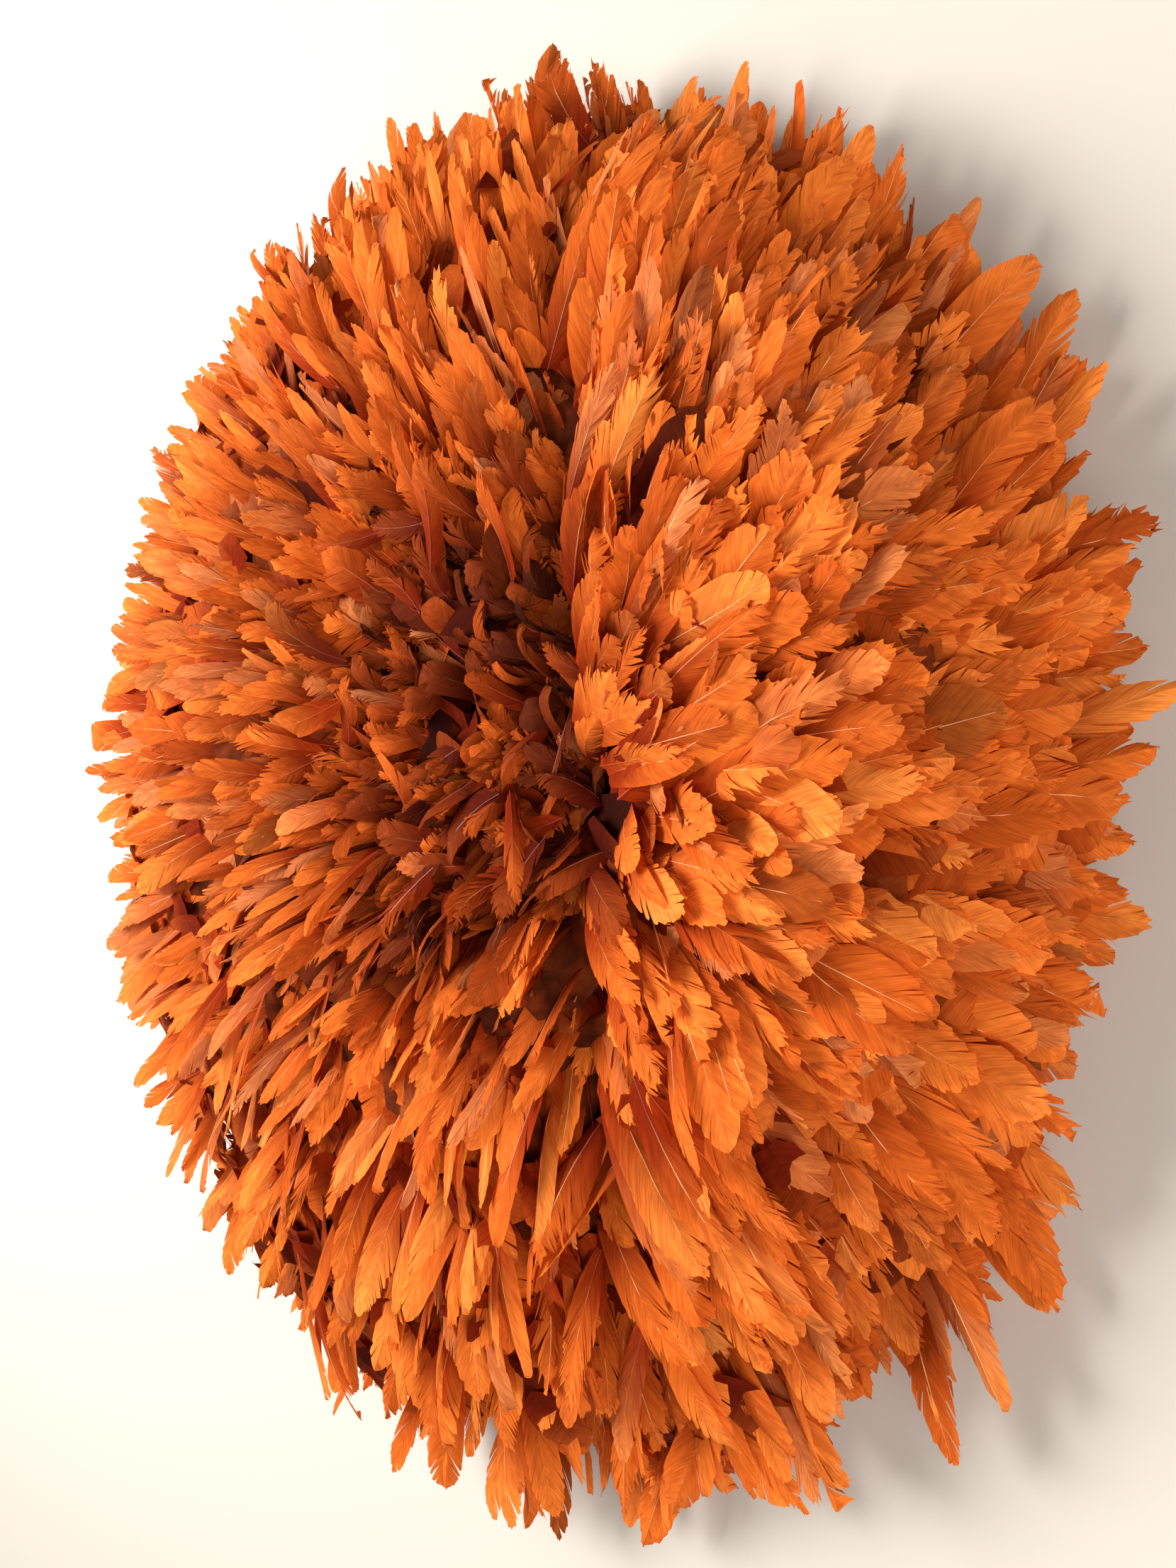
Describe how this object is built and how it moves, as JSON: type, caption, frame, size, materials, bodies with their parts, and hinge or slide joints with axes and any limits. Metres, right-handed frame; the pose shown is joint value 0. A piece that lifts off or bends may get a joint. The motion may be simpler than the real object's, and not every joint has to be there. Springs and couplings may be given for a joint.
{
  "type": "feathered headdress",
  "caption": "Round feathered headdress with a woven raffia cap, a skirt of raffia ribs and rings of orange feather bundles that spread into a dome with a sunk middle.",
  "frame": {"origin": "middle of the plan at the surface that the headdress lies on", "axes": "+Z out of the feathered face, +Y to the top of the face as it hangs, +X to its right"},
  "size_m": [0.744, 0.84, 0.1701],
  "materials": {
    "orange_feather": "matt dyed feather",
    "rust_feather": "matt dyed feather, darker",
    "raffia": "woven dry raffia"
  },
  "bodies": {
    "root": {"raffia_cap": "raffia", "rib_skirt": "raffia", "feather_ring_1_rim": "orange_feather", "feather_ring_2": "orange_feather", "feather_ring_3": "orange_feather", "feather_ring_4": "orange_feather", "feather_ring_5": "orange_feather", "feather_ring_6_inner": "rust_feather", "crown_tuft": "rust_feather"}
  },
  "joints": []
}
